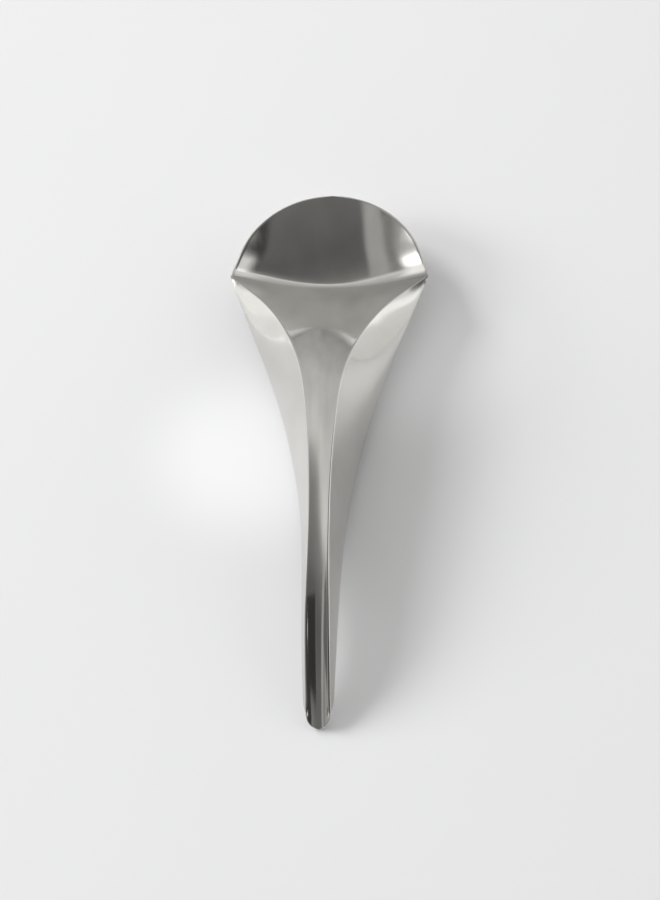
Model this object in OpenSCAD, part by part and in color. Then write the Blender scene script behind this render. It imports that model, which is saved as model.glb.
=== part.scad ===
// Tea bag spoon, pressed and folded from one sheet of stainless steel.
// A round dished bowl runs back into a narrow channel. From the two pointed
// corners of the bowl a curved fold runs along each side of the channel to
// the tip, and outside each fold the sheet turns down as a skirt.
// X runs across, Y along with the bowl in front (+Y), Z up from the table.
// The origin is on the table, below the middle of the length.

/* [Overall] */
// Length from the rounded tip to the front of the bowl
length = 120; // [110:1:150]
// Thickness of the sheet
sheet = 0.6; // [0.4:0.05:0.9]
// Inside radius of the two folds
fold_in_r = 0.15; // [0.1:0.05:0.5]
// Outside radius of the two folds, which are pressed sharp
fold_out_r = 0.4; // [0.3:0.05:0.7]

/* [Bowl] */
// Radius of the round front rim, seen from above
rim_r = 21.5; // [19.5:0.1:22.2]
// Height of the front of the rim above the lowest place of the floor
bowl_depth = 8; // [6:0.1:10]
// Distance behind the front where the floor meets the foot of the ramp
foot_back = 18.6; // [17:0.1:20]
// Angle at which the bowl's floor still falls where it reaches the foot
floor_angle = 13; // [8:0.5:16]
// Angle of the ramp that rises from there to the throat
ramp_angle = 34; // [31:0.5:36]
// How softly the floor turns into the ramp
foot_round = 0.4; // [0.2:0.05:1]
// Distance of the pointed corners behind the front of the bowl
corner_back = 19; // [17:0.5:20]
// Width across the corners
corner_w = 44.3; // [43:0.1:48]
// Height of the corners above the table
corner_h = 9; // [8:0.1:12]

/* [Shoulder] */
// Distance of the shoulder section behind the front of the bowl
shoulder_back = 27; // [25.5:0.5:30]
// Width between the folds at the shoulder
shoulder_fold_w = 26.6; // [22:0.1:29]
// Height of the folds at the shoulder
shoulder_fold_h = 12.1; // [10.5:0.1:14]
// Width across the lower edges of the skirts at the shoulder
shoulder_skirt_w = 38.2; // [35:0.1:42]
// Height of the lower edges of the skirts at the shoulder
shoulder_edge_h = 7.9; // [6:0.1:9]

/* [Throat] */
// Distance of the throat section behind the front of the bowl
throat_back = 38; // [35:0.5:42]
// Width between the folds at the throat
throat_fold_w = 13.1; // [10:0.1:15]
// Height of the folds at the throat
throat_fold_h = 15.5; // [14:0.1:17]
// Depth of the channel between the folds at the throat
throat_depth = 2; // [1.2:0.1:4]
// Width across the lower edges of the skirts at the throat
throat_skirt_w = 29.1; // [26:0.1:33]
// Height of the lower edges of the skirts at the throat
throat_edge_h = 5.4; // [3:0.1:7]

/* [Neck] */
// Distance of the neck section behind the front of the bowl
neck_back = 52; // [48:0.5:56]
// Width between the folds at the neck
neck_fold_w = 6.8; // [5.5:0.1:8.5]
// Height of the folds at the neck
neck_fold_h = 16.5; // [15:0.1:18]
// Depth of the channel between the folds at the neck
neck_depth = 0.6; // [0.3:0.1:2]
// Width across the lower edges of the skirts at the neck
neck_skirt_w = 19.3; // [17:0.1:23]
// Height of the lower edges of the skirts at the neck
neck_edge_h = 3.3; // [1.5:0.1:5]

/* [Waist] */
// Distance of the waist section from the tip
waist_from_tip = 46; // [42:0.5:50]
// Width between the folds at the waist
waist_fold_w = 4.7; // [4:0.1:6.5]
// Height of the folds at the waist
waist_fold_h = 14.7; // [13:0.1:16.5]
// Depth of the channel between the folds at the waist
waist_depth = 0.5; // [0.2:0.1:1.5]
// Width across the lower edges of the skirts at the waist
waist_skirt_w = 10.5; // [9:0.1:13]
// Height of the lower edges of the skirts at the waist
waist_edge_h = 3; // [1.5:0.1:5]

/* [Handle] */
// Distance of the handle section from the tip
handle_from_tip = 22; // [18:0.5:26]
// Width between the folds at the handle section
handle_fold_w = 5.2; // [4.5:0.1:6.5]
// Height of the folds at the handle section
handle_fold_h = 10.8; // [9.5:0.1:12.5]
// Depth of the channel between the folds at the handle section
handle_depth = 0.9; // [0.3:0.1:1.8]
// Width across the lower edges of the skirts at the handle section
handle_skirt_w = 8; // [7:0.1:10]
// Height of the lower edges of the skirts at the handle section
handle_edge_h = 4.8; // [3:0.1:6]

/* [Tip] */
// Width of the channel at the end, before its widening
tip_fold_w = 4.9; // [4.5:0.1:6]
// Height that the folds run down to at the end
tip_fold_h = 1.5; // [1.1:0.1:2]
// Width across the skirts at the end, as far as they are not yet run out
tip_skirt_w = 6.2; // [5.8:0.1:7.5]
// Height of the lower edges of the skirts at the end
tip_edge_h = 0.6; // [0.3:0.1:1]
// Length of the rounded end
tip_round = 2.8; // [2:0.1:4]
// Length over which the skirts run out before the rounded end
tip_runout = 4.5; // [3:0.1:8]
// How much the channel widens on each side where the skirts run out
tip_flare = 0.12; // [0:0.02:0.4]

/* [Skirt] */
// Share of its width at which a skirt begins to turn down
knee_out = 0.55; // [0.45:0.01:0.65]
// Share of its depth at which a skirt begins to turn down
knee_down = 0.46; // [0.3:0.01:0.55]
// Share of its width at which the edge of a skirt rolls down
lip_out = 0.95; // [0.85:0.01:0.98]
// Share of its depth at which the edge of a skirt rolls down
lip_down = 0.79; // [0.7:0.01:0.85]

/* [Hidden] */
// The floor in front of the foot is a parabola that begins at floor_angle
bowl_curve = (bowl_depth - foot_back * tan(floor_angle)) / pow(foot_back, 2);
front_slope = tan(floor_angle) + 2 * bowl_curve * foot_back;
// The square-cut rim leans forward, so its lower side is the front of all
rim_lean = sheet * sin(atan(front_slope));
front_y = length / 2 - rim_lean;
foot_y = front_y - foot_back;
// The soft turn at the foot lifts the floor, so both its parts meet this
// much lower and the lowest place just touches the table
foot_lift = foot_round * sqrt(tan(floor_angle) * tan(ramp_angle))
    / (tan(floor_angle) + tan(ramp_angle));
foot_h = sheet - foot_lift;
tip_y = -length / 2;
corner_y = front_y - corner_back;
rim_y = front_y - rim_r;
bowl_spread = rim_r / sqrt(bowl_depth);

// Facets across half the channel, round a fold and down a skirt
N_CHANNEL = 9;
N_FOLD = 3;
N_SKIRT = 6;
// Facets along the rounded tip, the folds, the straight rim and its arc
N_TIP = 6;
N_LONG = 48;
N_STRAIGHT = 8;
N_ARC = 15;
// Rounds of correction for a spline, and of halving for a search
SPLINE_ROUNDS = 24;
SEARCH_ROUNDS = 30;
// Half of the parameter step over which a slope is measured
STEP = 0.004;

// Heights of the two parts of the floor, each going on past the foot
function bowl_floor(y) =
    foot_h + tan(floor_angle) * (y - foot_y) + bowl_curve * pow(max(0, y - foot_y), 2);
function ramp(y) = foot_h + tan(ramp_angle) * (foot_y - y);

// The higher of two heights, with a soft turn where they meet
function higher(a, b) = (a + b + norm([a - b, foot_round])) / 2;

// Half width at which the channel has risen by 1 mm, from its width and depth
function spread(fold_w, depth) = fold_w / 2 / sqrt(depth);

// Channel sections from the tip to past the front: place, floor without the
// bowl's, spread
bowl_step = shoulder_back - corner_back;
shoulder_depth = shoulder_fold_h - ramp(front_y - shoulder_back);
corner_depth = corner_h - higher(ramp(corner_y), bowl_floor(corner_y));
channel_rows = [
    [tip_y, sheet, spread(tip_fold_w, tip_fold_h - sheet)],
    [tip_y + handle_from_tip, handle_fold_h - handle_depth,
        spread(handle_fold_w, handle_depth)],
    [tip_y + waist_from_tip, waist_fold_h - waist_depth,
        spread(waist_fold_w, waist_depth)],
    [front_y - neck_back, neck_fold_h - neck_depth,
        spread(neck_fold_w, neck_depth)],
    [front_y - throat_back, throat_fold_h - throat_depth,
        spread(throat_fold_w, throat_depth)],
    [front_y - shoulder_back, shoulder_fold_h - shoulder_depth,
        spread(shoulder_fold_w, shoulder_depth)],
    [corner_y, ramp(corner_y), spread(corner_w, corner_depth)],
    for (i = [1 : 3])
        let (y = corner_y + i * bowl_step) [y, ramp(y), bowl_spread]
];

// Fold sections from the tip to the corners: half width between the folds,
// then how far the skirt runs out and drops from there
function fold_row(fold_w, fold_h, skirt_w, edge_h) =
    [fold_w / 2, (skirt_w - fold_w) / 2, fold_h - edge_h];
fold_rows = [
    fold_row(tip_fold_w, tip_fold_h, tip_skirt_w, tip_edge_h),
    fold_row(handle_fold_w, handle_fold_h, handle_skirt_w, handle_edge_h),
    fold_row(waist_fold_w, waist_fold_h, waist_skirt_w, waist_edge_h),
    fold_row(neck_fold_w, neck_fold_h, neck_skirt_w, neck_edge_h),
    fold_row(throat_fold_w, throat_fold_h, throat_skirt_w, throat_edge_h),
    fold_row(shoulder_fold_w, shoulder_fold_h, shoulder_skirt_w, shoulder_edge_h),
    fold_row(corner_w, corner_h, corner_w, corner_h)
];
CORNER_T = len(fold_rows) - 1;

// Control points of the cubic B-spline that passes through all rows. It is
// straight at its start. At its end it is straight or keeps its curvature.
function controls(rows, curved_end, guess, rounds = SPLINE_ROUNDS) =
    rounds <= 0 ? with_ends(guess, curved_end) :
    let (n = len(rows) - 1)
    controls(rows, curved_end, [
        for (i = [0 : n])
            i == 0 ? rows[0] :
            i < n ? (6 * rows[i] - guess[i - 1] - guess[i + 1]) / 4 :
            curved_end ? (6 * rows[n] + 2 * guess[n - 1] - guess[n - 2]) / 7 :
            rows[n]
    ], rounds - 1);

function with_ends(p, curved_end) =
    let (n = len(p) - 1)
    [
        2 * p[0] - p[1],
        each p,
        curved_end ? 3 * p[n] - 3 * p[n - 1] + p[n - 2] : 2 * p[n] - p[n - 1]
    ];

// Point of a B-spline. t counts the rows: 0 is the tip.
function spline(p, t) =
    let (i = max(0, min(len(p) - 4, floor(t))), u = t - i, v = 1 - u)
    (v * v * v * p[i]
        + (3 * u * u * u - 6 * u * u + 4) * p[i + 1]
        + (3 * v * v * v - 6 * v * v + 4) * p[i + 2]
        + u * u * u * p[i + 3]) / 6;

channel_controls = controls(channel_rows, true, channel_rows);
fold_controls = controls(fold_rows, false, fold_rows);

// Place, floor height and spread of the channel at t
function channel(t) =
    let (row = spline(channel_controls, t))
    [row[0], higher(row[1], bowl_floor(row[0])), row[2]];

// Parameter of the section at a place along the spoon
function t_at(y, low = 0, high = len(channel_rows) - 1, rounds = SEARCH_ROUNDS) =
    let (t = (low + high) / 2)
    rounds <= 0 ? t :
    channel(t)[0] < y ? t_at(y, t, high, rounds - 1) : t_at(y, low, t, rounds - 1);

// Half width between the folds and the skirt's run and drop at t. The skirts
// run out and the channel widens a little before the rounded tip.
function folds(t) =
    let (
        row = spline(fold_controls, max(0, min(CORNER_T, t))),
        y = channel(t)[0],
        near = max(0, min(1, 1 - (y - tip_y - tip_round) / tip_runout)),
        left = t >= CORNER_T ? 0 : 1 - pow(near, 3)
    )
    [row[0] + tip_flare * near * near, row[1] * left, row[2] * left];

// Rim in front of the corners: a straight line that touches the round front
corner_angle = atan2(corner_y - rim_y, corner_w / 2)
    + acos(rim_r / norm([corner_w / 2, corner_y - rim_y]));
touch_y = rim_y + rim_r * sin(corner_angle);
function straight_rim_x(y) =
    corner_w / 2 + (rim_r * cos(corner_angle) - corner_w / 2)
    * (y - corner_y) / (touch_y - corner_y);

// Stations along the spoon, as [t, half width of the channel there]
TIP_T = t_at(tip_y + tip_round);
stations = [
    for (i = [0 : N_TIP - 1])
        let (a = 90 * i / N_TIP)
        [t_at(tip_y + tip_round * (1 - cos(a))), folds(TIP_T)[0] * sin(a)],
    for (i = [0 : N_LONG])
        let (t = TIP_T + (CORNER_T - TIP_T) * i / N_LONG)
        [t, folds(t)[0]],
    for (i = [1 : N_STRAIGHT])
        let (y = corner_y + (touch_y - corner_y) * pow(i / N_STRAIGHT, 2))
        [t_at(y), straight_rim_x(y)],
    for (i = [1 : N_ARC])
        let (a = corner_angle + (90 - corner_angle) * i / N_ARC)
        [t_at(rim_y + rim_r * sin(a)), rim_r * cos(a)]
];
FIRST_SKIRT = N_TIP;
LAST_SKIRT = N_TIP + N_LONG;
LAST = len(stations) - 1;

// Cubic curve from p to q that leaves along a and arrives along b
function blend(p, a, q, b, reach, s) =
    let (v = 1 - s)
    v * v * v * p + 3 * v * v * s * (p + reach * a)
    + 3 * v * s * s * (q - reach * b) + s * s * s * q;

function unit(v) = v / max(norm(v), 1e-9);

// Point of the upper face at column c, seen as [x, z] at parameter t, with
// folds of radius r. Columns run from the middle over the channel, then round
// the fold, then down the skirt, whose section is a cubic curve.
function upper_2d(t, half_w, c, r) =
    let (
        row = channel(t), fold = folds(t),
        v = [half_w, row[1] + pow(half_w / row[2], 2)],
        knee = v + [knee_out * fold[1], -knee_down * fold[2]],
        lip = v + [lip_out * fold[1], -lip_down * fold[2]],
        edge = v + [fold[1], -fold[2]],
        rise = atan(2 * half_w / row[2] / row[2]),
        fall = atan2(knee_down * fold[2], knee_out * fold[1]),
        turn = rise + fall,
        reach = min(r * tan(turn / 2), 0.4 * norm(edge - v)),
        x0 = half_w - reach * cos(rise),
        u0 = norm(knee - v) < 1e-9 ? 0 : reach / (3 * norm(knee - v))
    )
    c <= N_CHANNEL ?
        let (x = x0 * c / N_CHANNEL) [x, row[1] + pow(x / row[2], 2)] :
    c <= N_CHANNEL + N_FOLD ?
        let (
            p = [x0, row[1] + pow(x0 / row[2], 2)],
            q = skirt_2d(v, knee, lip, edge, u0),
            a = unit([1, 2 * x0 / row[2] / row[2]]),
            b = unit((1 - u0) * (1 - u0) * (knee - v)
                + 2 * u0 * (1 - u0) * (lip - knee) + u0 * u0 * (edge - lip)),
            pull = reach / max(tan(turn / 2), 1e-6) * tan(turn / 4) * 4 / 3
        )
        blend(p, a, q, b, pull, (c - N_CHANNEL) / N_FOLD) :
    skirt_2d(v, knee, lip, edge,
        u0 + (1 - u0) * (c - N_CHANNEL - N_FOLD) / N_SKIRT);

function skirt_2d(v, knee, lip, edge, u) =
    let (w = 1 - u)
    w * w * w * v + 3 * w * w * u * knee + 3 * w * u * u * lip + u * u * u * edge;

function upper(t, half_w, c, r) =
    let (p = upper_2d(t, half_w, abs(c), r))
    [sign(c) * p[0], channel(t)[0], p[1]];

// Upward direction square to the sheet. In the channel it follows from the
// parabola, and outside it from the neighbouring points of the surface.
function channel_square(t, x) =
    let (
        row = channel(t), before = channel(t - STEP), after = channel(t + STEP),
        rise = (after[1] + pow(x / after[2], 2) - before[1] - pow(x / before[2], 2))
            / (after[0] - before[0])
    )
    unit([-2 * x / row[2] / row[2], -rise, 1]);

function skirt_square(t, c, r) =
    let (
        side = sign(c),
        along = upper(t + STEP, folds(t + STEP)[0], c, r)
            - upper(t - STEP, folds(t - STEP)[0], c, r),
        low = max(N_CHANNEL, abs(c) - 1),
        high = min(N_CHANNEL + N_FOLD + N_SKIRT, abs(c) + 1),
        half_w = folds(t)[0],
        across = upper(t, half_w, side * high, r) - upper(t, half_w, side * low, r)
    )
    unit(side * cross(across, along));

// Close to the corners, and where a skirt is narrower than the sheet is thick,
// the lower face of the edge lies straight below instead.
function square_dir(i, c, r) =
    let (
        t = stations[i][0],
        square = abs(c) < N_CHANNEL || i <= FIRST_SKIRT || i >= LAST_SKIRT ?
            channel_square(t, upper(t, stations[i][1], c, r)[0]) : skirt_square(t, c, r),
        room = i == FIRST_SKIRT ? 0 :
            i >= LAST_SKIRT ? channel(t)[0] - corner_y :
            norm([folds(t)[1], folds(t)[2]]),
        own = abs(c) < N_CHANNEL || i < FIRST_SKIRT ? 1 : min(1, room / (3 * sheet))
    )
    unit(own * square + (1 - own) * [0, 0, 1]);

// Grid of both faces. A column that a station lacks falls on its last one.
COLUMNS = N_CHANNEL + N_FOLD + N_SKIRT;
ROW_LEN = 2 * COLUMNS + 1;
function column(i, c) =
    i == 0 || i == LAST ? 0 :
    i <= FIRST_SKIRT || i >= LAST_SKIRT ? max(-N_CHANNEL, min(N_CHANNEL, c)) : c;
function id(face, i, c) =
    (face * (LAST + 1) + i) * ROW_LEN + column(i, c) + COLUMNS;

// The lower face keeps the sheet's thickness from folds of the bent radius, and
// only the upper face is pressed to the sharper one.
bent_r = fold_in_r + sheet;
points = [
    for (face = [0, 1], i = [0 : LAST], c = [-COLUMNS : COLUMNS])
        let (
            k = column(i, c),
            r = face == 0 ? fold_out_r : bent_r,
            p = upper(stations[i][0], stations[i][1], k, r)
        )
        face == 0 ? p : p - sheet * square_dir(i, k, r)
];

// A quad as two triangles, without those that have shrunk to a line
function quad(a, b, c, d) = [
    if (a != b && b != c && c != a) [a, b, c],
    if (a != c && c != d && d != a) [a, c, d]
];

faces = [
    for (i = [0 : LAST - 1], c = [-COLUMNS : COLUMNS - 1])
        each quad(id(0, i, c), id(0, i + 1, c), id(0, i + 1, c + 1), id(0, i, c + 1)),
    for (i = [0 : LAST - 1], c = [-COLUMNS : COLUMNS - 1])
        each quad(id(1, i, c), id(1, i, c + 1), id(1, i + 1, c + 1), id(1, i + 1, c)),
    for (i = [0 : LAST - 1])
        each quad(id(0, i, -COLUMNS), id(1, i, -COLUMNS),
            id(1, i + 1, -COLUMNS), id(0, i + 1, -COLUMNS)),
    for (i = [0 : LAST - 1])
        each quad(id(0, i, COLUMNS), id(0, i + 1, COLUMNS),
            id(1, i + 1, COLUMNS), id(1, i, COLUMNS))
];

// The whole spoon, one folded sheet
module spoon() {
    color("silver")
        polyhedron(points, faces, convexity = 6);
}

spoon();
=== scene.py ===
"""Dressed model of a tea bag spoon: folded, polished sheet steel lying on a pale table by a window.

The spoon is one surface with thickness. Its sizes repeat the part's own, in millimetres.
"""

import math

import bmesh
import bpy
import numpy as np
from mathutils import Matrix, Vector


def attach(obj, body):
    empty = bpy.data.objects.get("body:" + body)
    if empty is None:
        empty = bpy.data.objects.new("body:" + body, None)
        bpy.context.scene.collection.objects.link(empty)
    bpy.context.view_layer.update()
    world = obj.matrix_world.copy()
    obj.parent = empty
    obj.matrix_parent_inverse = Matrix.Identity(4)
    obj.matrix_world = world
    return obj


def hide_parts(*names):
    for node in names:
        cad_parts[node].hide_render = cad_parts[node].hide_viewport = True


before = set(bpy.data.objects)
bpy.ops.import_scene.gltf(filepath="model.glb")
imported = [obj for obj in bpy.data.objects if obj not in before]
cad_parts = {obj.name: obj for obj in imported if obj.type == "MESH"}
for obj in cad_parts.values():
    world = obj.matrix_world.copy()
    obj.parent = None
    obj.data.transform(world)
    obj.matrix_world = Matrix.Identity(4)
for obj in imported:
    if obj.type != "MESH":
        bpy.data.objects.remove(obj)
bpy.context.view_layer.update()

# Sizes of the spoon, in millimetres

MM = 0.001
LENGTH = 120.0
SHEET = 0.6
# Radii of the folds on top, where they are pressed sharp, and of the bent sheet below
FOLD_OUT_R = 0.42
BENT_R = 0.75
RIM_R = 21.5
BOWL_DEPTH = 8.0
# The foot is where the bowl's floor meets the ramp, this far behind the bowl's front
FOOT_BACK = 18.6
FLOOR_SLOPE = math.tan(math.radians(13))
RAMP_SLOPE = math.tan(math.radians(34))
FOOT_ROUND = 0.4
# The bend at the foot widens by this much towards the sides, and is at its widest this far out
SIDE_ROUND = 1.1
SIDE_REACH = 18.0
# The pointed corners: how far behind the front, how far apart, how high
CORNER_BACK = 19.0
CORNER_W = 44.3
CORNER_H = 9.0

# Sections: place, width between the folds, height of the folds, depth of the channel between them,
# width across the lower edges, height of the lower edges. A place is behind the bowl's front.
SHOULDER = (27.0, 26.6, 12.1, None, 38.2, 7.9)
THROAT = (38.0, 13.1, 15.5, 2.0, 29.1, 5.4)
NECK = (52.0, 6.8, 16.5, 0.6, 19.3, 3.3)
# For these it is in front of the tip.
WAIST = (46.0, 4.7, 14.7, 0.5, 10.5, 3.0)
HANDLE = (22.0, 5.2, 10.8, 0.9, 8.0, 4.8)
TIP = (0.0, 4.9, 1.5, 0.9, 6.2, 0.6)
# Length of the tip's rounding and the power that blunts it, and over what length before it the
# skirts run out and by how much the channel widens there
TIP_ROUND = 2.8
TIP_BLUNT = 0.88
TIP_RUNOUT = 4.5
TIP_FLARE = 0.12
# The skirt's curve bends at a knee and a lip, as shares of its run and drop
KNEE_OUT = 0.55
KNEE_DOWN = 0.46
LIP_OUT = 0.95
LIP_DOWN = 0.79

# How far the rounding of the sheet's cut edge reaches in, at most this share of the room there is,
# and the room where nothing is near
EDGE_REACH = 0.2
EDGE_SHARE = 0.3
OPEN_ROOM = 9.0
# The rounding of a fold takes at most this share of the skirt's depth
FOLD_SHARE = 0.4
# Where the skirt is deeper than the first, and in front of the corner by the second, the thickness
# lies square to the sheet's outer part. Towards the corner and the tip it turns straight down.
OWN_DEPTH = 3 * SHEET
OWN_FRONT = 2.0
# Height of the lowest place, where the spoon rests
REST_H = 0.01

BOWL_CURVE = (BOWL_DEPTH - FOOT_BACK * FLOOR_SLOPE) / FOOT_BACK**2
RIM_LEAN = SHEET * math.sin(math.atan(FLOOR_SLOPE + 2 * BOWL_CURVE * FOOT_BACK))
FRONT_Y = LENGTH / 2 - RIM_LEAN
FOOT_Y = FRONT_Y - FOOT_BACK
FOOT_H = SHEET - FOOT_ROUND * math.sqrt(FLOOR_SLOPE * RAMP_SLOPE) / (FLOOR_SLOPE + RAMP_SLOPE)
TIP_Y = -LENGTH / 2
CORNER_Y = FRONT_Y - CORNER_BACK
RIM_Y = FRONT_Y - RIM_R
BOWL_STEP = SHOULDER[0] - CORNER_BACK
BOWL_SPREAD = RIM_R / math.sqrt(BOWL_DEPTH)

# Mesh counts: half the channel, a fold, a skirt, the rounded cut edge
CHANNEL_CELLS = 34
FOLD_CELLS = 10
SKIRT_CELLS = 26
EDGE_CELLS = 8
# Along the rounded tip, the folds, the straight rim and its arc
TIP_CELLS = 22
FOLDS_CELLS = 170
STRAIGHT_CELLS = 24
ARC_CELLS = 54
# How strongly the stations draw closer towards the corner, behind it and in front of it
FOLDS_CLOSER = 0.18
STRAIGHT_CLOSER = 1.5
# Power by which the faces draw in towards the cut edge
DRAW_IN = 4

# The corner's row in the sections, the last row, fineness of the table that finds a place, and
# rounds in which the control points settle
CORNER_T = 6.0
LAST_T = 9
TABLE_STEPS = 9000
SPLINE_ROUNDS = 24
# Steps over which slopes are measured, along in rows and across in millimetres, and how far short
# of the corner the rows stay
T_STEP = 0.004
X_STEP = 0.01
T_MARGIN = 1e-4
# Lengths below the first count as none. The others keep divisions away from zero.
NO_LENGTH = 1e-6
LEAST = 1e-9
LEAST_NORM = 1e-12
# Points closer than this are one, and edges shorter than this are none, in metres
SAME_POINT = 0.5e-6
NO_EDGE = 1e-8


# The spoon's surface

def bowl_floor(y):
    """Height of the bowl's middle in front of the ramp's foot: a parabola along the spoon that
    begins at the floor's angle and rises by the bowl's depth at the front."""
    return FOOT_H + FLOOR_SLOPE * (y - FOOT_Y) + BOWL_CURVE * np.maximum(0, y - FOOT_Y) ** 2


def ramp(y):
    """Height of the straight ramp behind its foot."""
    return FOOT_H + RAMP_SLOPE * (FOOT_Y - y)


def higher(a, b):
    """The higher of two heights with a soft turn: half of a + b + the root of (a - b) squared + the
    turn's size squared."""
    return (a + b + np.hypot(a - b, FOOT_ROUND)) / 2


def side_swell(x, y, half):
    """Extra height that widens the bend at the bowl's foot towards the sides. It is half the
    difference of hypot(ramp - bowl floor, width) for the wider and the narrow bend, faded out at
    the edges by (1 - (x / half)^4)^2."""
    gap = ramp(y) - bowl_floor(y)
    wide = FOOT_ROUND + SIDE_ROUND * np.minimum(1, np.abs(x) / SIDE_REACH) ** 2
    fade = (1 - np.minimum(1, np.abs(x) / np.maximum(half, NO_LENGTH)) ** 4) ** 2
    return fade * (np.hypot(gap, wide) - np.hypot(gap, FOOT_ROUND)) / 2


def spread(fold_w, depth):
    """Half width at which a parabola of this width and depth has risen by one millimetre."""
    return fold_w / 2 / math.sqrt(depth)


def channel_sections():
    """Rows of place, floor height without the bowl's, and spread, from the tip to past the
    front."""
    rows = []
    for place, section in (
        (TIP_Y, TIP),
        (TIP_Y + HANDLE[0], HANDLE),
        (TIP_Y + WAIST[0], WAIST),
        (FRONT_Y - NECK[0], NECK),
        (FRONT_Y - THROAT[0], THROAT),
        (FRONT_Y - SHOULDER[0], SHOULDER),
    ):
        _, fold_w, fold_h, depth, _, _ = section
        depth = depth or fold_h - ramp(place)
        rows.append((place, fold_h - depth, spread(fold_w, depth)))
    corner_depth = CORNER_H - higher(ramp(CORNER_Y), bowl_floor(CORNER_Y))
    rows.append((CORNER_Y, ramp(CORNER_Y), spread(CORNER_W, corner_depth)))
    for k in (1, 2, 3):
        y = CORNER_Y + k * BOWL_STEP
        rows.append((y, ramp(y), BOWL_SPREAD))
    return np.array(rows)


def fold_sections():
    """Rows of half the width between the folds, and the run and drop of the skirt, from the tip to
    the corner."""
    rows = []
    for _, fold_w, fold_h, _, skirt_w, edge_h in (TIP, HANDLE, WAIST, NECK, THROAT, SHOULDER):
        rows.append((fold_w / 2, (skirt_w - fold_w) / 2, fold_h - edge_h))
    rows.append((CORNER_W / 2, 0.0, 0.0))
    return np.array(rows)


def control_points(rows, curved_end):
    """Control points of the cubic B-spline through all rows. A point is found from (6 row - both
    neighbours) / 4, repeated until it rests. The start is straight, the end straight or evenly
    curved."""
    found = rows.copy()
    for _ in range(SPLINE_ROUNDS):
        last = (6 * rows[-1] + 2 * found[-2] - found[-3]) / 7 if curved_end else rows[-1]
        inner = (6 * rows[1:-1] - found[:-2] - found[2:]) / 4
        found = np.concatenate([rows[:1], inner, [last]])
    before = 2 * found[0] - found[1]
    after = 3 * found[-1] - 3 * found[-2] + found[-3] if curved_end else 2 * found[-1] - found[-2]
    return np.concatenate([[before], found, [after]])


def spline(points, t):
    """Cubic B-spline at t, which counts the rows: the four nearest control points, weighted."""
    i = np.clip(np.floor(t).astype(int), 0, len(points) - 4)
    u = (t - i)[..., None]
    v = 1 - u
    return (
        v**3 * points[i]
        + (3 * u**3 - 6 * u**2 + 4) * points[i + 1]
        + (3 * v**3 - 6 * v**2 + 4) * points[i + 2]
        + u**3 * points[i + 3]
    ) / 6


CHANNEL_POINTS = control_points(channel_sections(), True)
FOLD_POINTS = control_points(fold_sections(), False)


def channel(t):
    """Place, floor height and spread of the channel at t."""
    y, floor, wide = np.moveaxis(spline(CHANNEL_POINTS, t), -1, 0)
    return y, higher(floor, bowl_floor(y)), wide


def t_at(y):
    """The parameter at a place along the spoon, looked up on a fine table."""
    rows = np.linspace(0, LAST_T, TABLE_STEPS + 1)
    return np.interp(y, channel(rows)[0], rows)


def folds(t):
    """Half width between the folds, run and drop of the skirt. Before the rounded tip the skirt
    fades by 1 - near cubed and the channel widens by the flare times near squared."""
    half, run, drop = np.moveaxis(spline(FOLD_POINTS, np.clip(t, 0, CORNER_T)), -1, 0)
    near = np.clip(1 - (channel(t)[0] - TIP_Y - TIP_ROUND) / TIP_RUNOUT, 0, 1)
    left = np.where(t >= CORNER_T, 0, 1 - near**3)
    return half + TIP_FLARE * near**2, run * left, drop * left


def outline_stations():
    """Parameter and half width of the channel at each station: the tip's rounding, a little blunter
    than an ellipse, the folds, a straight rim that touches the round front, and the front's arc."""
    tip_t = float(t_at(TIP_Y + TIP_ROUND))
    tip_half = float(folds(np.array(tip_t))[0])
    a = np.linspace(0, math.pi / 2, TIP_CELLS + 1)[:-1]
    tip = (t_at(TIP_Y + TIP_ROUND * (1 - np.cos(a))), tip_half * np.sin(a) ** TIP_BLUNT)
    # the stations draw closer towards the corner
    s = np.linspace(0, 1, FOLDS_CELLS + 1)
    along = tip_t + (CORNER_T - tip_t) * ((1 + FOLDS_CLOSER) * s - FOLDS_CLOSER * s**3)
    along[-1] = CORNER_T
    fold = (along, folds(along)[0])
    half, front = CORNER_W / 2, CORNER_Y - RIM_Y
    corner_a = math.atan2(front, half) + math.acos(RIM_R / math.hypot(half, front))
    touch_x, touch_y = RIM_R * math.cos(corner_a), RIM_Y + RIM_R * math.sin(corner_a)
    s = np.linspace(0, 1, STRAIGHT_CELLS + 1)[1:] ** STRAIGHT_CLOSER
    straight = (t_at(CORNER_Y + (touch_y - CORNER_Y) * s), half + (touch_x - half) * s)
    a = corner_a + (math.pi / 2 - corner_a) * np.linspace(0, 1, ARC_CELLS + 1)[1:]
    arc = (t_at(RIM_Y + RIM_R * np.sin(a)), RIM_R * np.cos(a))
    return [np.concatenate(pair) for pair in zip(tip, fold, straight, arc)]


def unit(v):
    """The same directions at length one."""
    return v / np.maximum(np.linalg.norm(v, axis=-1, keepdims=True), LEAST_NORM)


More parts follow.
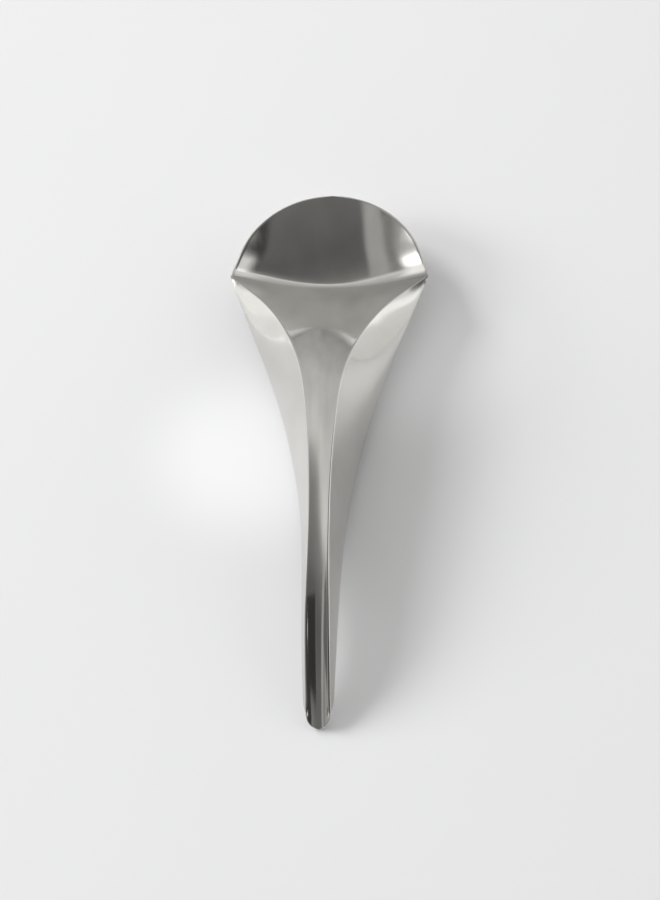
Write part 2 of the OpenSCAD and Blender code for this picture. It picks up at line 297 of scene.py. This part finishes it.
def upper_half(t, half, r):
    """Right half of the upper face with folds of radius r, as (stations, columns, 3). Across the
    channel the height is floor + (x / spread) squared + the side swell; a cubic curve rounds the
    fold; the skirt is a cubic curve from the fold by its knee and its lip to its edge."""
    y, floor, wide = channel(t)
    _, run, drop = folds(t)
    v = np.stack([half, floor + (half / wide) ** 2], -1)
    knee = v + np.stack([KNEE_OUT * run, -KNEE_DOWN * drop], -1)
    lip = v + np.stack([LIP_OUT * run, -LIP_DOWN * drop], -1)
    edge = v + np.stack([run, -drop], -1)
    depth = np.hypot(run, drop)
    flat = depth < NO_LENGTH
    rise = np.arctan(2 * half / wide**2)
    turn = rise + np.arctan2(KNEE_DOWN * drop, KNEE_OUT * run)
    reach = np.where(flat, 0, np.minimum(r * np.tan(turn / 2), FOLD_SHARE * depth))
    u0 = reach / np.maximum(3 * np.hypot(KNEE_OUT * run, KNEE_DOWN * drop), LEAST)

    x0 = half - reach * np.cos(rise)
    x = x0[:, None] * np.linspace(0, 1, CHANNEL_CELLS + 1)
    height = floor[:, None] + (x / wide[:, None]) ** 2 + side_swell(x, y[:, None], half[:, None])
    across = np.stack([x, height], -1)

    def skirt(u):
        """The skirt's cubic curve at u: fold, knee, lip and edge, weighted."""
        u = u[..., None]
        w = 1 - u
        return (
            w**3 * v[:, None]
            + 3 * w**2 * u * knee[:, None]
            + 3 * w * u**2 * lip[:, None]
            + u**3 * edge[:, None]
        )

    p = across[:, -1]
    q = skirt(u0[:, None])[:, 0]
    a = unit(np.stack([np.ones_like(x0), 2 * x0 / wide**2], -1))
    u = u0[:, None]
    b = unit((1 - u) ** 2 * (knee - v) + 2 * u * (1 - u) * (lip - knee) + u**2 * (edge - lip))
    pull = (4 / 3) * reach * np.tan(turn / 4) / np.maximum(np.tan(turn / 2), LEAST)
    s = np.linspace(0, 1, FOLD_CELLS + 1)[1:, None]
    p, q, a, b, pull = p[:, None], q[:, None], a[:, None], b[:, None], pull[:, None, None]
    fold = (
        (1 - s) ** 3 * p
        + 3 * (1 - s) ** 2 * s * (p + pull * a)
        + 3 * (1 - s) * s**2 * (q - pull * b)
        + s**3 * q
    )
    s = np.linspace(0, 1, SKIRT_CELLS + 1)[1:]
    down = skirt(u0[:, None] + (1 - u0)[:, None] * s)
    flat_end = np.repeat(across[:, -1:], FOLD_CELLS + SKIRT_CELLS, axis=1)
    outer = np.where(flat[:, None, None], flat_end, np.concatenate([fold, down], 1))
    section = np.concatenate([across, outer], 1)
    places = np.broadcast_to(y[:, None], section.shape[:2])
    return np.stack([section[..., 0], places, section[..., 1]], -1)


def upward(t, half, surface, r, folded):
    """Direction square to the sheet. In the channel it follows from the slopes along and across,
    and outside it from the cross product of the surface's steps in both parameters."""
    x, half = surface[..., 0], half[:, None]

    def channel_height(near_t):
        """Place and height of the channel's surface at a nearby row, at the same x."""
        y, floor, wide = (value[:, None] for value in channel(near_t))
        return y, floor + (x / wide) ** 2 + side_swell(x, y, half)

    back_y, back = channel_height(t - T_STEP)
    ahead_y, ahead = channel_height(t + T_STEP)
    along = (ahead - back) / (ahead_y - back_y)
    y, _, wide = (value[:, None] for value in channel(t))
    swell = side_swell(x + X_STEP, y, half) - side_swell(x - X_STEP, y, half)
    across = 2 * x / wide**2 + swell / (2 * X_STEP)
    square = unit(np.stack([-across, -along, np.ones_like(x)], -1))
    ahead_t, back_t = np.minimum(t + T_STEP, CORNER_T - T_MARGIN), t - T_STEP
    along = upper_half(ahead_t, folds(ahead_t)[0], r) - upper_half(back_t, folds(back_t)[0], r)
    outer = unit(np.cross(np.gradient(surface, axis=1), along))
    outside = np.arange(surface.shape[1]) > CHANNEL_CELLS
    return np.where((outside[None, :] & folded[:, None])[..., None], outer, square)


def spoon_sheet():
    """The whole spoon as one closed skin. At each station a loop runs over the upper face, round
    the right cut edge as half an ellipse, back under the lower face, and round the left edge. The
    lower face is the bent sheet's, moved by its thickness along its normal; the upper face is
    pressed to sharper folds."""
    t, half = outline_stations()
    y = channel(t)[0]
    order = np.arange(len(t))
    first, last = TIP_CELLS, TIP_CELLS + FOLDS_CELLS
    folded = (order > first) & (order < last)
    _, run, drop = folds(t)
    depth = np.where(folded, np.hypot(run, drop), 0)

    upper = upper_half(t, half, FOLD_OUT_R)
    bent = upper_half(t, half, BENT_R)
    up = upward(t, half, bent, BENT_R, folded)

    # near the corners and the tip the thickness of the outer part turns straight down
    own = np.where(folded, np.minimum(1, depth / OWN_DEPTH), 0)
    own = np.where(t > CORNER_T, np.clip((y - CORNER_Y) / OWN_FRONT, 0, 1), own)
    own = np.where(order < first, np.clip((TIP_Y + TIP_ROUND - y) / TIP_ROUND, 0, 1), own)
    own = (own * own * (3 - 2 * own))[:, None, None]
    columns = np.arange(upper.shape[1])
    turned = unit(own * up + (1 - own) * np.array([0.0, 0.0, 1.0]))
    down = np.where((columns >= CHANNEL_CELLS)[None, :, None], turned, up)
    lower = bent - SHEET * down

    # outward direction of the cut edge: along the outline, crossed with the sheet's normal
    path = np.gradient(upper[:, -1], axis=0)
    path[0], path[-1] = (1, 0, 0), (-1, 0, 0)
    out = unit(np.cross(path, down[:, -1]))
    room = np.where(folded, depth, np.where(t > CORNER_T, y - CORNER_Y, OPEN_ROOM))
    room = np.where(order == first, OPEN_ROOM, room)
    reach_in = np.minimum(EDGE_REACH, EDGE_SHARE * room)

    # both faces draw in towards the edge, to where its rounding begins
    shift = -reach_in[:, None] * out
    on_skirt = np.clip((columns - CHANNEL_CELLS - FOLD_CELLS) / SKIRT_CELLS, 0, 1)
    on_channel = np.clip(columns / CHANNEL_CELLS, 0, 1)
    weight = np.where(folded[:, None], on_skirt, on_channel)[..., None] ** DRAW_IN
    upper = upper + weight * shift[:, None]
    lower = lower + weight * shift[:, None]

    a = np.linspace(math.pi / 2, -math.pi / 2, EDGE_CELLS + 1)[1:-1]
    round_edge = (
        (upper[:, -1] + lower[:, -1])[:, None] / 2
        + np.cos(a)[None, :, None] * reach_in[:, None, None] * out[:, None]
        + np.sin(a)[None, :, None] * ((upper[:, -1] - lower[:, -1]) / 2)[:, None]
    )
    mirror = np.array([-1.0, 1.0, 1.0])
    loop = np.concatenate(
        [
            (upper * mirror)[:, :0:-1],
            upper,
            round_edge,
            lower[:, ::-1],
            (lower * mirror)[:, 1:],
            (round_edge * mirror)[:, ::-1],
        ],
        axis=1,
    )
    loop[..., 2] = np.maximum(loop[..., 2], REST_H)
    return loop


def closed_skin(name, loop):
    """Mesh of a grid of closed loops: four corners to a face, and the points that coincide at the
    two ends and along the corners made one."""
    rows, columns = loop.shape[:2]
    number = np.arange(rows * columns).reshape(rows, columns)
    beside = np.roll(number, -1, axis=1)
    quads = np.stack([number[:-1], beside[:-1], beside[1:], number[1:]], -1).reshape(-1, 4)
    mesh = bpy.data.meshes.new(name)
    mesh.from_pydata((loop.reshape(-1, 3) * MM).tolist(), [], quads.tolist())
    skin = bmesh.new()
    skin.from_mesh(mesh)
    bmesh.ops.remove_doubles(skin, verts=skin.verts, dist=SAME_POINT)
    bmesh.ops.dissolve_degenerate(skin, edges=skin.edges, dist=NO_EDGE)
    bmesh.ops.recalc_face_normals(skin, faces=skin.faces)
    skin.to_mesh(mesh)
    skin.free()
    mesh.shade_smooth()
    piece = bpy.data.objects.new(name, mesh)
    bpy.context.collection.objects.link(piece)
    return piece


# Materials

# Steel: colour of its duller and brighter clouds, roughness of its lines, what the haze adds to it,
# and the lines' relief in metres. A span is the part of a noise over which it changes.
STEEL_DULL = (0.655, 0.645, 0.620, 1)
STEEL_BRIGHT = (0.712, 0.701, 0.677, 1)
CLOUD_SPAN = (0.35, 0.65)
LINE_SPAN = (0.3, 0.7)
LINE_ROUGHNESS = (0.065, 0.105)
HAZE_SPAN = (0.35, 0.7)
HAZE_ROUGHNESS = (0.0, 0.06)
BUMP_SHARE = 0.06
BUMP_HEIGHT = 0.00003
# Table: its two whites, the painted shade of its far part, where that fades in along +Y, and its
# gloss
TABLE_DULL = (0.83, 0.83, 0.84, 1)
TABLE_BRIGHT = (0.85, 0.85, 0.86, 1)
TABLE_FAR_SHADE = (0.36, 0.36, 0.36, 1)
TABLE_FADE = (0.13, 0.32)
TABLE_ROUGHNESS = 0.6
TABLE_SPECULAR = 0.2
# The ramps of grey levels reach this many degrees to either side of straight up
RAMP_REACH = 120


def new_material(name):
    """An empty node material: its nodes, its links and its main shader."""
    material = bpy.data.materials.new(name)
    material.use_nodes = True
    tree = material.node_tree
    return material, tree.nodes, tree.links, tree.nodes["Principled BSDF"]


def stretched_noise(nodes, links, place, scale, size, detail, roughness):
    """Noise on the given coordinates, drawn out along the axis whose scale is small."""
    mapping = nodes.new("ShaderNodeMapping")
    mapping.inputs["Scale"].default_value = scale
    links.new(place, mapping.inputs["Vector"])
    noise = nodes.new("ShaderNodeTexNoise")
    noise.inputs["Scale"].default_value = size
    noise.inputs["Detail"].default_value = detail
    noise.inputs["Roughness"].default_value = roughness
    links.new(mapping.outputs["Vector"], noise.inputs["Vector"])
    return noise.outputs["Fac"]


def remap(nodes, links, value, low, high, to_low, to_high):
    """Straight-line change of one range of values to another, held at both ends."""
    node = nodes.new("ShaderNodeMapRange")
    node.inputs["From Min"].default_value = low
    node.inputs["From Max"].default_value = high
    node.inputs["To Min"].default_value = to_low
    node.inputs["To Max"].default_value = to_high
    links.new(value, node.inputs["Value"])
    return node.outputs["Result"]


def arithmetic(nodes, links, operation, a, b):
    """One arithmetic node on two values, each a number or an output."""
    node = nodes.new("ShaderNodeMath")
    node.operation = operation
    for socket, value in zip(node.inputs, (a, b)):
        if isinstance(value, (int, float)):
            socket.default_value = value
        else:
            links.new(value, socket)
    return node.outputs["Value"]


def stepped(nodes, links, angle, stops):
    """Grey level or share against an angle, straight between stops of (degrees, level)."""
    ramp_node = nodes.new("ShaderNodeValToRGB")
    reach = math.radians(RAMP_REACH)
    links.new(remap(nodes, links, angle, -reach, reach, 0, 1), ramp_node.inputs["Fac"])
    points = ramp_node.color_ramp.elements
    while len(points) < len(stops):
        points.new(0.5)
    for point, (place, _) in zip(points, stops):
        point.position = (place + RAMP_REACH) / (2 * RAMP_REACH)
    for point, (_, level) in zip(points, stops):
        point.color = (level, level, level, 1)
    return ramp_node.outputs["Color"]


def both(nodes, links, first, first_stops, second, second_stops):
    """Product of two shares, each read against its own angle."""
    a = stepped(nodes, links, first, first_stops)
    b = stepped(nodes, links, second, second_stops)
    return arithmetic(nodes, links, "MULTIPLY", a, b)


def mixed(nodes, links, share, a, b):
    """Colour a where the share is 0 and b where it is 1."""
    node = nodes.new("ShaderNodeMix")
    node.data_type = "RGBA"
    links.new(share, node.inputs["Factor"])
    for name, value in (("A", a), ("B", b)):
        if isinstance(value, tuple):
            node.inputs[name].default_value = value
        else:
            links.new(value, node.inputs[name])
    return node.outputs["Result"]


def polished_steel():
    """Buffed stainless sheet: fine lines along the spoon, soft clouds of tint and a haze that
    dulls it in places."""
    material, nodes, links, shader = new_material("polished_steel")
    place = nodes.new("ShaderNodeTexCoord").outputs["Object"]
    shader.inputs["Metallic"].default_value = 1.0

    cloud = stretched_noise(nodes, links, place, scale=(1, 1, 1), size=90, detail=3, roughness=0.5)
    cloud = remap(nodes, links, cloud, *CLOUD_SPAN, 0, 1)
    links.new(mixed(nodes, links, cloud, STEEL_DULL, STEEL_BRIGHT), shader.inputs["Base Color"])

    lines = stretched_noise(
        nodes, links, place, scale=(1, 0.05, 1), size=5200, detail=2, roughness=0.6
    )
    haze = stretched_noise(
        nodes, links, place, scale=(1, 0.35, 1), size=260, detail=4, roughness=0.6
    )
    line_part = remap(nodes, links, lines, *LINE_SPAN, *LINE_ROUGHNESS)
    haze_part = remap(nodes, links, haze, *HAZE_SPAN, *HAZE_ROUGHNESS)
    roughness = arithmetic(nodes, links, "ADD", line_part, haze_part)
    links.new(roughness, shader.inputs["Roughness"])

    bump = nodes.new("ShaderNodeBump")
    bump.inputs["Strength"].default_value = BUMP_SHARE
    bump.inputs["Distance"].default_value = BUMP_HEIGHT
    links.new(lines, bump.inputs["Height"])
    links.new(bump.outputs["Normal"], shader.inputs["Normal"])
    return material


def pale_table():
    """Matt white board with a barely seen mottle. Beyond the bowl's front, outside the picture,
    painted shade darkens it to grey, as if less light fell there, so that the spoon's channel does
    not mirror a bright strip."""
    material, nodes, links, shader = new_material("pale_table")
    place = nodes.new("ShaderNodeTexCoord").outputs["Object"]
    mottle = stretched_noise(nodes, links, place, scale=(1, 1, 1), size=14, detail=3, roughness=0.5)
    white = mixed(nodes, links, mottle, TABLE_DULL, TABLE_BRIGHT)
    # Painted shade: the board turns grey beyond the bowl's front, where less light is taken to fall
    split = nodes.new("ShaderNodeSeparateXYZ")
    links.new(place, split.inputs["Vector"])
    far = remap(nodes, links, split.outputs["Y"], *TABLE_FADE, 0, 1)
    links.new(mixed(nodes, links, far, white, TABLE_FAR_SHADE), shader.inputs["Base Color"])
    shader.inputs["Roughness"].default_value = TABLE_ROUGHNESS
    shader.inputs["Specular IOR Level"].default_value = TABLE_SPECULAR
    return material


def even_grey(name, level):
    """A surface of one grey level, whatever light falls on it."""
    material = bpy.data.materials.new(name)
    material.use_nodes = True
    nodes, links = material.node_tree.nodes, material.node_tree.links
    nodes.clear()
    lamp = nodes.new("ShaderNodeEmission")
    lamp.inputs["Color"].default_value = (level, level, level, 1)
    links.new(lamp.outputs["Emission"], nodes.new("ShaderNodeOutputMaterial").inputs["Surface"])
    return material


# Stage, light and camera

# Grey levels of the room against degrees from straight up: along the spoon towards +Y, and across
# it towards +X. The second list takes over where both shares below it are 1: to the sides, and
# behind towards -Y.
ROOM_ALONG = (
    (-90, 0.35), (-56, 0.30), (-46, 0.20), (-36, 0.16), (-22, 0.13), (-12, 0.145), (-6, 0.20),
    (1, 0.26), (5, 0.42), (7, 0.74), (11, 0.80), (15, 0.72), (20, 0.65), (40, 0.58), (55, 0.50),
    (72, 0.46), (85, 0.42), (95, 0.34),
)
ROOM_ACROSS = (
    (-70, 0.42), (-58, 0.36), (-55, 0.24), (-51, 0.26), (-48, 0.44), (-36, 0.44), (-33, 0.13),
    (44, 0.13), (47, 0.05), (52, 0.05),
)
ROOM_BESIDE = ((-36, 1), (-32, 0), (43, 0), (46, 1))
ROOM_BEHIND = ((-6, 1), (4, 0))
# The levels along the spoon lean by the second number of degrees at the first one to either side
ROOM_LEAN = (35, 7)
# Walls left and right as shares against degrees across, and against degrees of turn from -X or +X
# towards +Y. Their level is read against degrees across.
LEFT_WALL = ((-60, 1), (-56, 0))
LEFT_TURN = ((-15, 0), (-11, 1), (20, 1), (34, 0))
RIGHT_WALL = ((47, 0), (51, 1))
RIGHT_TURN = ((-24, 0), (-19, 1), (30, 1), (50, 0))
WALL_LEVEL = ((-90, 1.0), (-75, 1.05), (-60, 1.05), (-50, 0.9), (50, 0.85), (90, 0.80))
# The window and a bright spot on the right: shares against turn and against height in degrees
WINDOW_TURN = ((-15.8, 0), (-14.6, 1), (-7, 1), (-3, 0.1), (13, 0.1), (18, 0))
WINDOW_HEIGHT = ((14, 0), (17, 1), (30, 1), (33, 0))
WINDOW_LEVEL = 2.4
SPOT_TURN = ((-3, 0), (2, 1), (10, 1), (15, 0))
SPOT_HEIGHT = ((18, 0), (22, 1), (37, 1), (41, 0))
SPOT_LEVEL = 1.25
# The room's mottle multiplies its levels by colours between these two
ROOM_MOTTLE_SPAN = (0.3, 0.7)
ROOM_TINT_LOW = (0.93, 0.93, 0.91, 1)
ROOM_TINT_HIGH = (1.07, 1.07, 1.06, 1)
# How much more the room lights matt surfaces than polished ones show
ROOM_FILL = 1.3
# Half the table's side, in metres
TABLE_HALF = 3.0
# Lamps that draw the shadow: turn and height in degrees, width in metres, watts. All are this far
# away in metres.
LAMPS = (("window_high", 141, 27, 0.75, 28), ("window_low", 170, 20, 0.8, 22))
LAMP_AWAY = 2.2
# Light that the turned-down sides throw on the table: place in millimetres, turn in degrees, watts.
# Height and width of each beam in degrees, the lamp's size and distance in metres.
GLOWS = (("glow_left", (-16, 2), 180, 3.2), ("glow_right", (20, 26), 0, 2.2))
GLOW_HEIGHT = 58
GLOW_WIDTH = 4.6
GLOW_SOFT = 0.008
GLOW_AWAY = 0.6
# Dark things above and left of the handle: grey level and corners in metres
CARDS = (
    (
        "card_above",
        0.04,
        ((0.012, -0.15, 0.12), (0.012, -0.055, 0.12), (0.13, -0.055, 0.12), (0.13, -0.15, 0.12)),
    ),
    (
        "card_left",
        0.15,
        ((-0.15, -0.12, 0.03), (-0.15, -0.04, 0.03), (-0.15, -0.04, 0.15), (-0.15, -0.12, 0.15)),
    ),
)
# Camera: direction from the spoon, distance in metres, roll in radians, focal length and shift in
# picture heights, sensor height in millimetres, nearest distance in metres
VIEW_FROM = (0.1108, -0.3, 1.0)
VIEW_AWAY = 0.65
VIEW_ROLL = 0.0325
VIEW_FOCUS = 4.5301 * 650 / 900
VIEW_SHIFT = (2.5647 / 900, 12.5545 / 900)
VIEW_SENSOR = 24
VIEW_CLIP = 0.01


def board(name, corners, material):
    """One flat four-cornered board of the stage."""
    mesh = bpy.data.meshes.new(name)
    mesh.from_pydata(corners, [], [(0, 1, 2, 3)])
    mesh.materials.append(material)
    piece = bpy.data.objects.new(name, mesh)
    bpy.context.collection.objects.link(piece)
    return piece


def table():
    """The table top, with its upper face at the height the spoon rests on."""
    s = TABLE_HALF
    return board("table", ((-s, -s, 0), (s, -s, 0), (s, s, 0), (-s, s, 0)), pale_table())


def room_light():
    """The room by direction: dark overhead and behind the handle, paler beyond the bowl's front,
    pale walls on both sides, a window on the left and a bright spot on the right."""
    world = bpy.data.worlds.new("room")
    bpy.context.scene.world = world
    world.use_nodes = True
    nodes, links = world.node_tree.nodes, world.node_tree.links
    back = nodes["Background"]
    split = nodes.new("ShaderNodeSeparateXYZ")
    view = nodes.new("ShaderNodeTexCoord").outputs["Generated"]
    links.new(view, split.inputs["Vector"])
    x, y, z = split.outputs["X"], split.outputs["Y"], split.outputs["Z"]
    lean_y = arithmetic(nodes, links, "ARCTAN2", y, z)
    lean_x = arithmetic(nodes, links, "ARCTAN2", x, z)

    side, lean = (math.radians(degrees) for degrees in ROOM_LEAN)
    tilt = remap(nodes, links, lean_x, -side, side, lean, -lean)
    along = stepped(nodes, links, arithmetic(nodes, links, "ADD", lean_y, tilt), ROOM_ALONG)
    across = stepped(nodes, links, lean_x, ROOM_ACROSS)
    share = both(nodes, links, lean_x, ROOM_BESIDE, lean_y, ROOM_BEHIND)
    level = mixed(nodes, links, share, along, across)

    left = arithmetic(nodes, links, "ARCTAN2", y, arithmetic(nodes, links, "MULTIPLY", x, -1.0))
    right = arithmetic(nodes, links, "ARCTAN2", y, x)
    height = arithmetic(nodes, links, "ARCSINE", z, 0.0)
    wall = stepped(nodes, links, lean_x, WALL_LEVEL)
    for sides, turned, turns in ((LEFT_WALL, left, LEFT_TURN), (RIGHT_WALL, right, RIGHT_TURN)):
        share = both(nodes, links, lean_x, sides, turned, turns)
        level = mixed(nodes, links, share, level, wall)
    for turned, turns, heights, bright in (
        (left, WINDOW_TURN, WINDOW_HEIGHT, WINDOW_LEVEL),
        (right, SPOT_TURN, SPOT_HEIGHT, SPOT_LEVEL),
    ):
        share = both(nodes, links, turned, turns, height, heights)
        level = mixed(nodes, links, share, level, (bright, bright, bright, 1))

    mottle = stretched_noise(nodes, links, view, scale=(1, 0.6, 1), size=5, detail=3, roughness=0.6)
    mottle = remap(nodes, links, mottle, *ROOM_MOTTLE_SPAN, 0, 1)
    mottle = mixed(nodes, links, mottle, ROOM_TINT_LOW, ROOM_TINT_HIGH)
    tint = nodes.new("ShaderNodeVectorMath")
    tint.operation = "MULTIPLY"
    links.new(level, tint.inputs[0])
    links.new(mottle, tint.inputs[1])
    links.new(tint.outputs["Vector"], back.inputs["Color"])
    matt = nodes.new("ShaderNodeLightPath").outputs["Is Diffuse Ray"]
    links.new(remap(nodes, links, matt, 0, 1, 1, ROOM_FILL), back.inputs["Strength"])


def aim(name, lamp, at, turn, height, away):
    """Places a lamp that looks at a point, by its turn about Z and its height in degrees and its
    distance. The steel does not mirror the lamp, but the room's window."""
    piece = bpy.data.objects.new(name, lamp)
    bpy.context.collection.objects.link(piece)
    turn, height = math.radians(turn), math.radians(height)
    flat = math.cos(height)
    toward = Vector((math.cos(turn) * flat, math.sin(turn) * flat, math.sin(height)))
    piece.location = Vector(at) + toward * away
    piece.rotation_euler = toward.to_track_quat("Z", "Y").to_euler()
    piece.visible_glossy = False


def window_lamps():
    """Soft round lamps on the window's side that draw the spoon's shadow."""
    for name, turn, height, width, watts in LAMPS:
        lamp = bpy.data.lights.new(name, "AREA")
        lamp.shape = "DISK"
        lamp.size = width
        lamp.energy = watts
        aim(name, lamp, (0, 0, 0), turn, height, LAMP_AWAY)


def thrown_light():
    """Narrow soft spots for the light that the steel's turned-down sides throw on the table."""
    for name, (x, y), turn, watts in GLOWS:
        lamp = bpy.data.lights.new(name, "SPOT")
        lamp.spot_size = math.radians(GLOW_WIDTH)
        lamp.spot_blend = 1.0
        lamp.shadow_soft_size = GLOW_SOFT
        lamp.energy = watts
        aim(name, lamp, (x * MM, y * MM, 0), turn, GLOW_HEIGHT, GLOW_AWAY)


def dark_cards():
    """Two dark things near the handle, seen only in its polished channel: the camera above it, and
    something upright on its left."""
    for name, level, corners in CARDS:
        card = board(name, corners, even_grey(name + "_grey", level))
        card.visible_camera = False
        card.visible_diffuse = False
        card.visible_shadow = False


def camera():
    """The photograph's view: from above, a little from the handle's side and the right."""
    away = Vector(VIEW_FROM).normalized()
    side = (-away).cross(Vector((0, 1, 0))).normalized()
    level_up = side.cross(-away).normalized()
    right = side * math.cos(VIEW_ROLL) + level_up * math.sin(VIEW_ROLL)
    top = level_up * math.cos(VIEW_ROLL) - side * math.sin(VIEW_ROLL)
    lens = bpy.data.cameras.new("view")
    lens.sensor_fit = "VERTICAL"
    lens.sensor_height = VIEW_SENSOR
    lens.lens = VIEW_FOCUS * VIEW_SENSOR
    lens.shift_x, lens.shift_y = VIEW_SHIFT
    lens.clip_start = VIEW_CLIP
    piece = bpy.data.objects.new("view", lens)
    bpy.context.collection.objects.link(piece)
    piece.matrix_world = Matrix((right, top, away)).transposed().to_4x4()
    piece.location = away * VIEW_AWAY
    bpy.context.scene.camera = piece


spoon = closed_skin("spoon_sheet", spoon_sheet())
spoon.data.materials.append(polished_steel())
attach(spoon, "root")
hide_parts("spoon")

table()
room_light()
window_lamps()
thrown_light()
dark_cards()
camera()
bpy.context.scene.view_settings.view_transform = "Standard"
